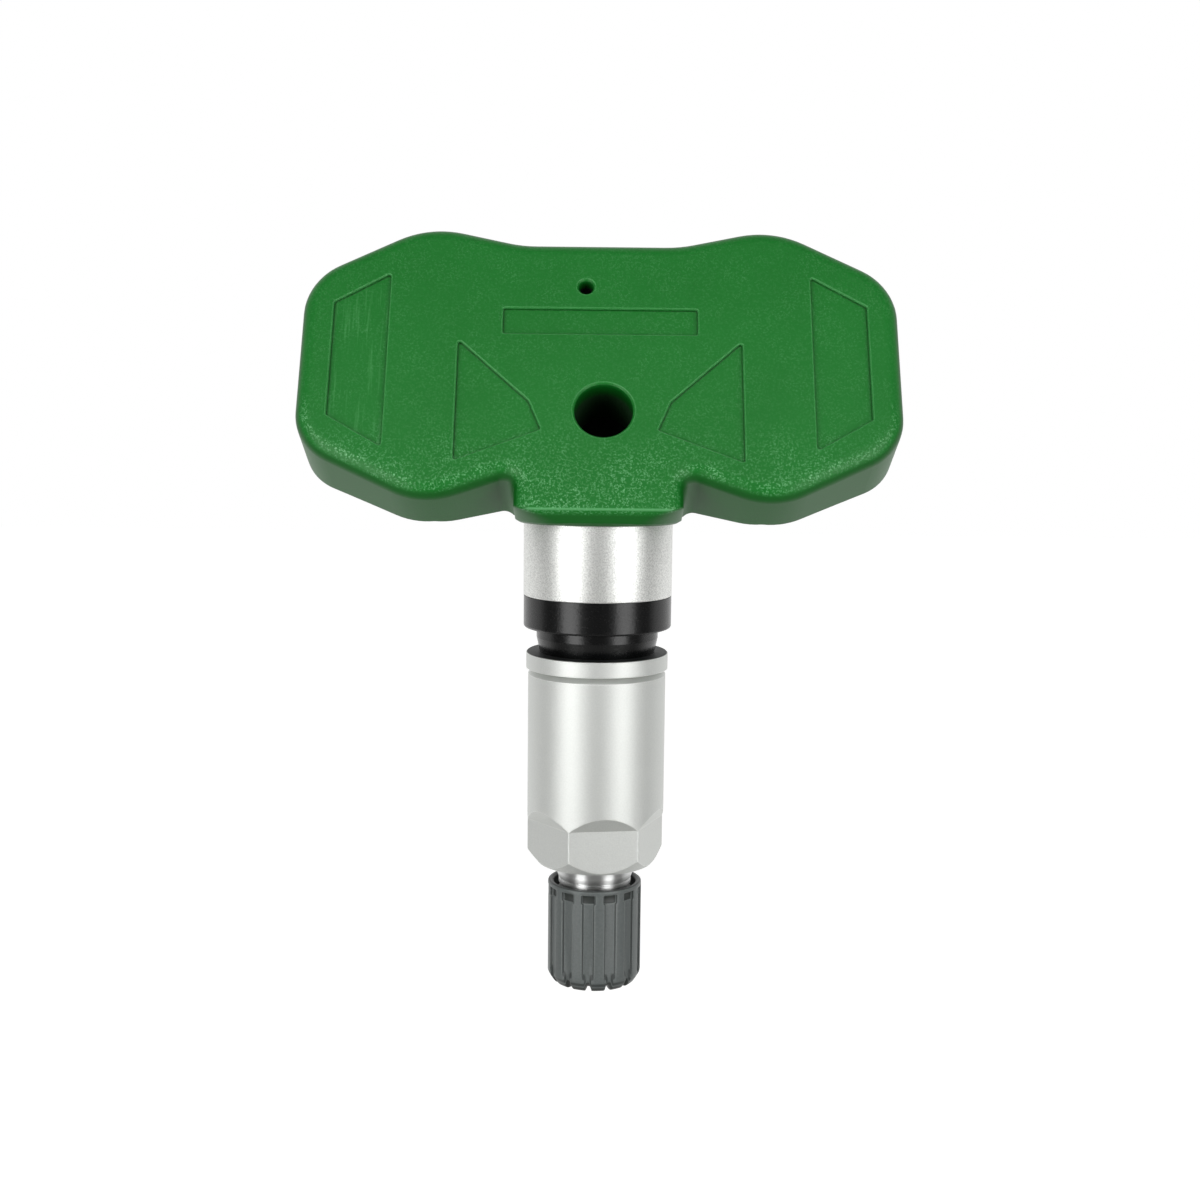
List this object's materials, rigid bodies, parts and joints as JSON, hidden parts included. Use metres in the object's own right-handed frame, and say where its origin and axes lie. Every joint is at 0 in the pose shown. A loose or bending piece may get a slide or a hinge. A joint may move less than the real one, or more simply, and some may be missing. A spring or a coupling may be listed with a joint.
{
  "type": "tyre pressure sensor",
  "caption": "Wheel-mounted pressure sensor: winged moulded housing on a clamp-in metal valve with rubber grommet, washer, long hexagon nut and screw cap.",
  "frame": {"origin": "on the valve stem's axis, in the plane where the rubber grommet's flange sits on the rim", "axes": "+Z along the stem towards the housing, -Y the side of the housing with the air well, +X to the right seen from that side"},
  "size_m": [0.059, 0.0209, 0.0758],
  "materials": {
    "housing_plastic": "grained injection moulding",
    "potting_resin": "cast, slightly glossy",
    "board_laminate": "solder mask",
    "battery_steel": "pressed, bright",
    "tab_nickel": "rolled strip",
    "chip_package": "moulded",
    "crystal_can": "pressed lid",
    "switch_can": "drawn can",
    "ferrite": "sintered",
    "coil_wire": "enamelled copper",
    "ceramic": "fired ceramic",
    "antenna_wire": "tinned wire",
    "seal_rubber": "moulded",
    "grommet_rubber": "satin moulding",
    "stem_aluminium": "bead-blasted collar, turned neck",
    "nut_aluminium": "satin turned",
    "washer_aluminium": "satin turned",
    "core_brass": "turned",
    "core_spring_steel": "drawn wire",
    "cap_plastic": "moulded"
  },
  "bodies": {
    "sensor": {"housing": "housing_plastic", "potting": "potting_resin", "circuit_board": "board_laminate", "battery_cell": "battery_steel", "battery_tab_positive": "tab_nickel", "battery_tab_negative": "tab_nickel", "sensor_chip": "chip_package", "port_seal": "seal_rubber", "radio_chip": "chip_package", "crystal": "crystal_can", "motion_switch": "switch_can", "coil_core": "ferrite", "coil_winding": "coil_wire", "chip_capacitors": "ceramic", "antenna": "antenna_wire", "valve_stem": "stem_aluminium", "grommet": "grommet_rubber", "core_body": "core_brass", "core_barrel": "core_brass", "core_gasket": "seal_rubber", "core_spring": "core_spring_steel"},
    "washer": {"washer": "washer_aluminium"},
    "sleeve_nut": {"sleeve_nut": "nut_aluminium"},
    "cap_seal": {"cap_seal": "seal_rubber"},
    "valve_cap": {"valve_cap": "cap_plastic"},
    "core_pin": {"core_pin": "core_brass", "core_seal": "seal_rubber", "core_cup": "core_brass"}
  },
  "joints": [
    {"name": "nut_travel", "type": "slide", "parent": "sensor", "child": "washer", "axis": [0, 0, 1], "range_m": [-0.0011, 0]},
    {"name": "nut_turn", "type": "hinge", "parent": "washer", "child": "sleeve_nut", "pos_m": [0, 0, -0.014], "axis": [0, 0, 1], "range_deg": [-499, 0]},
    {"name": "cap_travel", "type": "slide", "parent": "sensor", "child": "cap_seal", "axis": [0, 0, 1], "range_m": [-0.012, 0]},
    {"name": "cap_turn", "type": "hinge", "parent": "cap_seal", "child": "valve_cap", "pos_m": [0, 0, -0.031], "axis": [0, 0, 1], "range_deg": [-5442, 0]},
    {"name": "pin_press", "type": "slide", "parent": "sensor", "child": "core_pin", "axis": [0, 0, 1], "range_m": [0, 0.001], "stiffness_N_per_m": 600, "springref_m": -0.0015, "deforming": ["core_spring"]}
  ],
  "couplings": [
    {"joint": "nut_turn", "follows": "nut_travel", "rad_per_m": 7913.3},
    {"joint": "cap_turn", "follows": "cap_travel", "rad_per_m": 7913.3}
  ]
}
